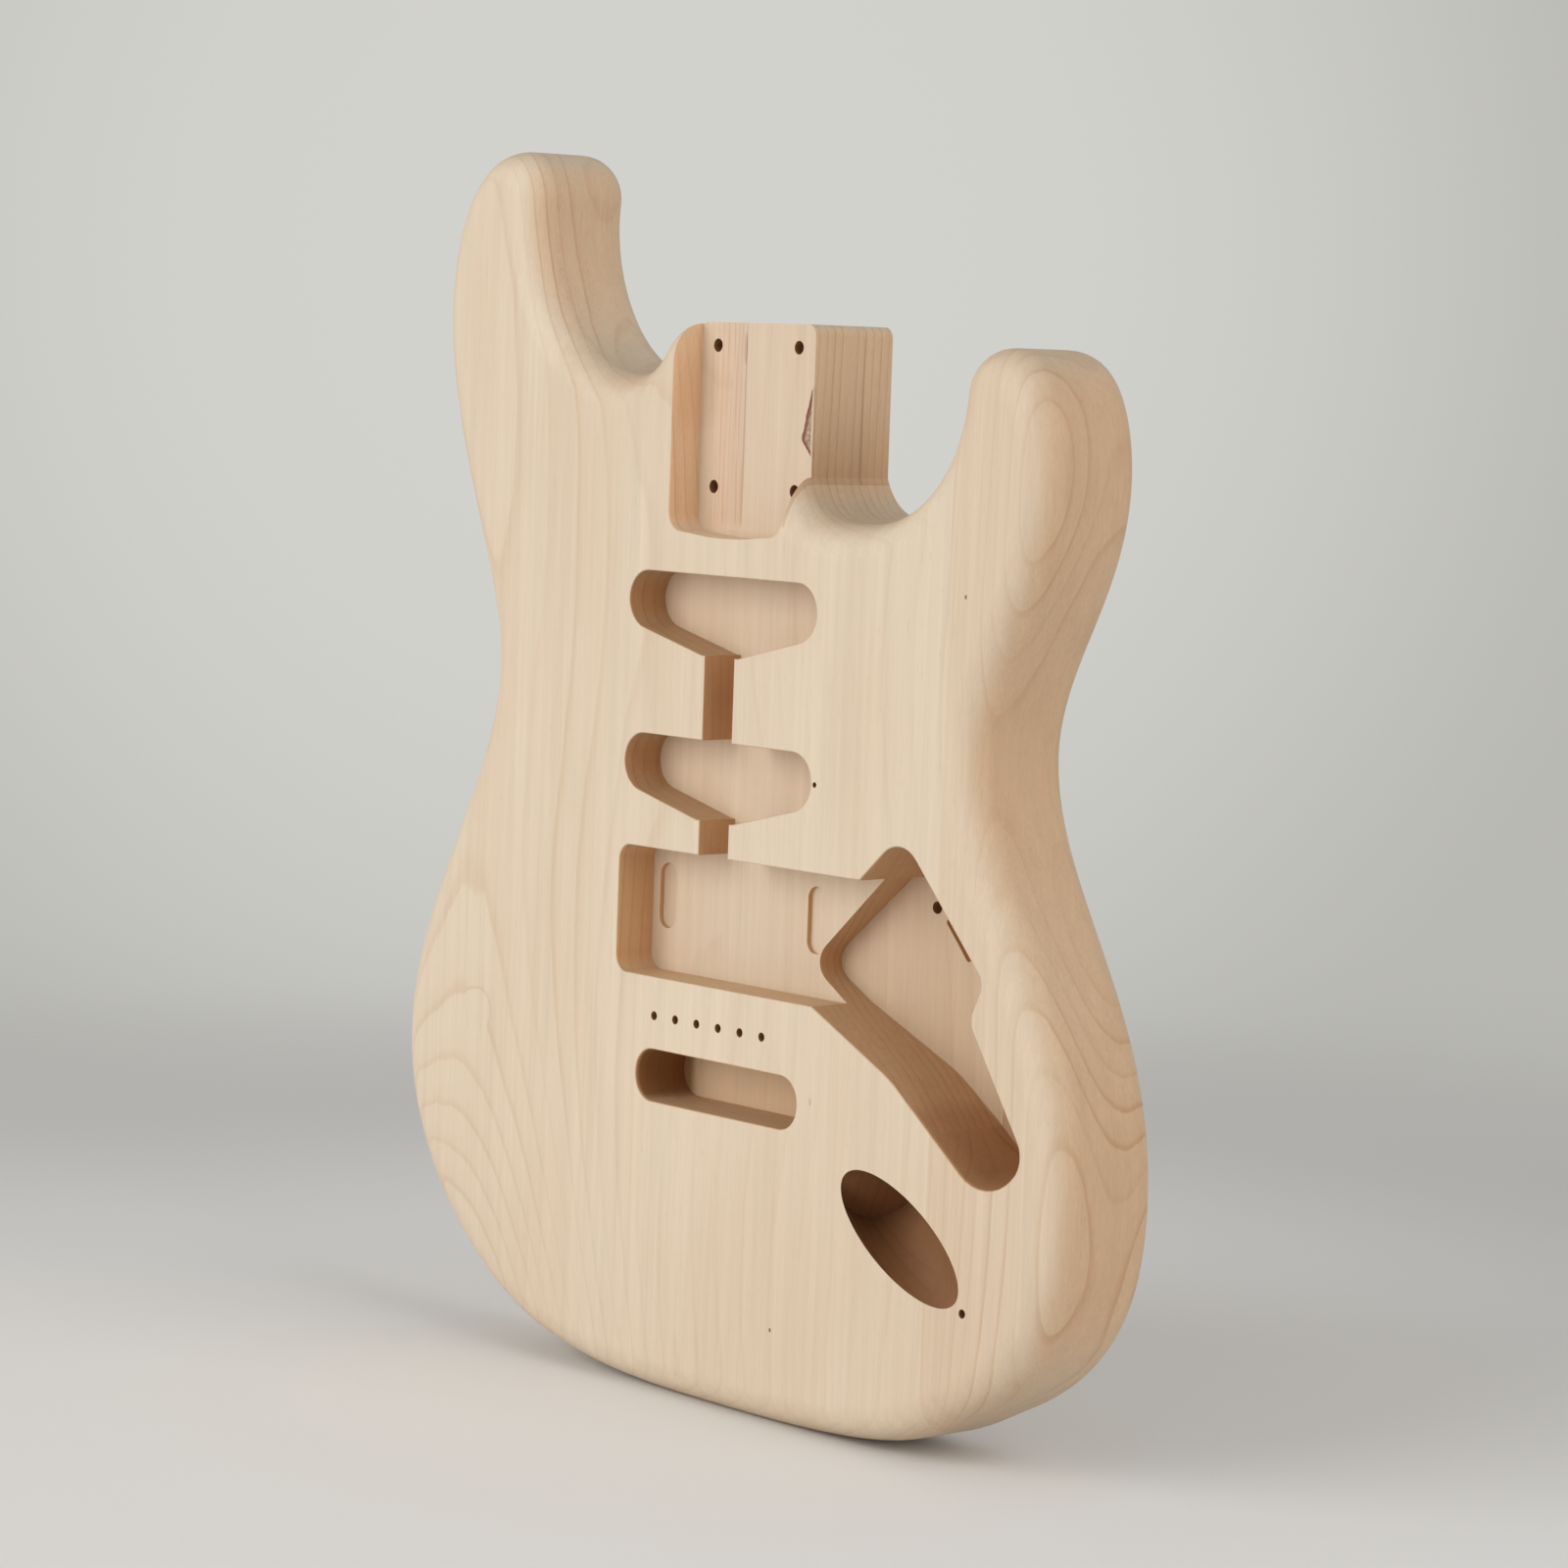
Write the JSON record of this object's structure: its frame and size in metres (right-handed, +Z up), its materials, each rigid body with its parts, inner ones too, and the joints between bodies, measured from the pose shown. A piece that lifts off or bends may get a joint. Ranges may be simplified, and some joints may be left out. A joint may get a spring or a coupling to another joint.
{
  "type": "electric guitar body",
  "caption": "Bare double-cutaway electric guitar body of glued boards, routed for a bolt-on neck, pickups, controls, bridge and jack.",
  "frame": {"origin": "below the middle of the body, at the height of the tail's lowest point, half way through the thickness", "axes": "+Z up the body towards the neck, +X towards the treble side, -Y out of the routed front face"},
  "size_m": [0.333, 0.045, 0.409],
  "materials": {
    "bass_side_wood": "sanded bare wood, matt",
    "centre_wood": "sanded bare wood, matt",
    "treble_side_wood": "sanded bare wood, matt"
  },
  "bodies": {
    "root": {"bass_side_board": "bass_side_wood", "centre_board": "centre_wood", "treble_side_board": "treble_side_wood"}
  },
  "joints": []
}
